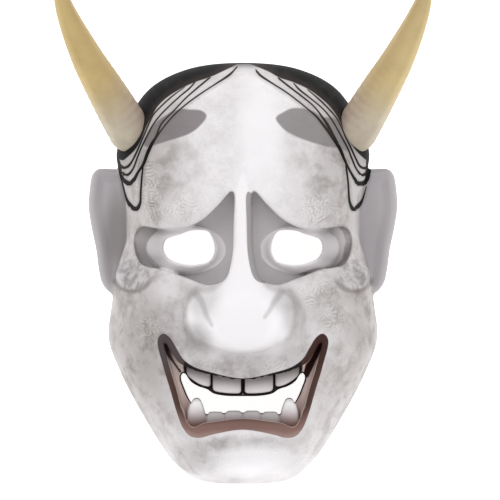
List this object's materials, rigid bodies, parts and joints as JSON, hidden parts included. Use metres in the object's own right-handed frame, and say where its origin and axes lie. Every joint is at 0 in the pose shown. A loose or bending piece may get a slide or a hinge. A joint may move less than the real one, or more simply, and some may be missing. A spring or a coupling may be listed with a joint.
{
  "type": "hannya mask",
  "caption": "Horned demon mask of carved and painted wood with a hollow back, see-through eyes and grinning mouth, lying on its back rim.",
  "frame": {"origin": "under the middle of the whole object, in the plane of the back rim", "axes": "+Z out of the face, +Y from chin to crown, +X towards the viewer's right of the face"},
  "size_m": [0.188, 0.2614, 0.0952],
  "materials": {
    "painted_wood": "matt shell-white paint, smudged grey, with painted hair, lips and teeth",
    "gilded_wood": "worn gold paint, grey-beige at the root"
  },
  "bodies": {
    "root": {"mask": "painted_wood", "horn_left": "gilded_wood", "horn_right": "gilded_wood"}
  },
  "joints": []
}
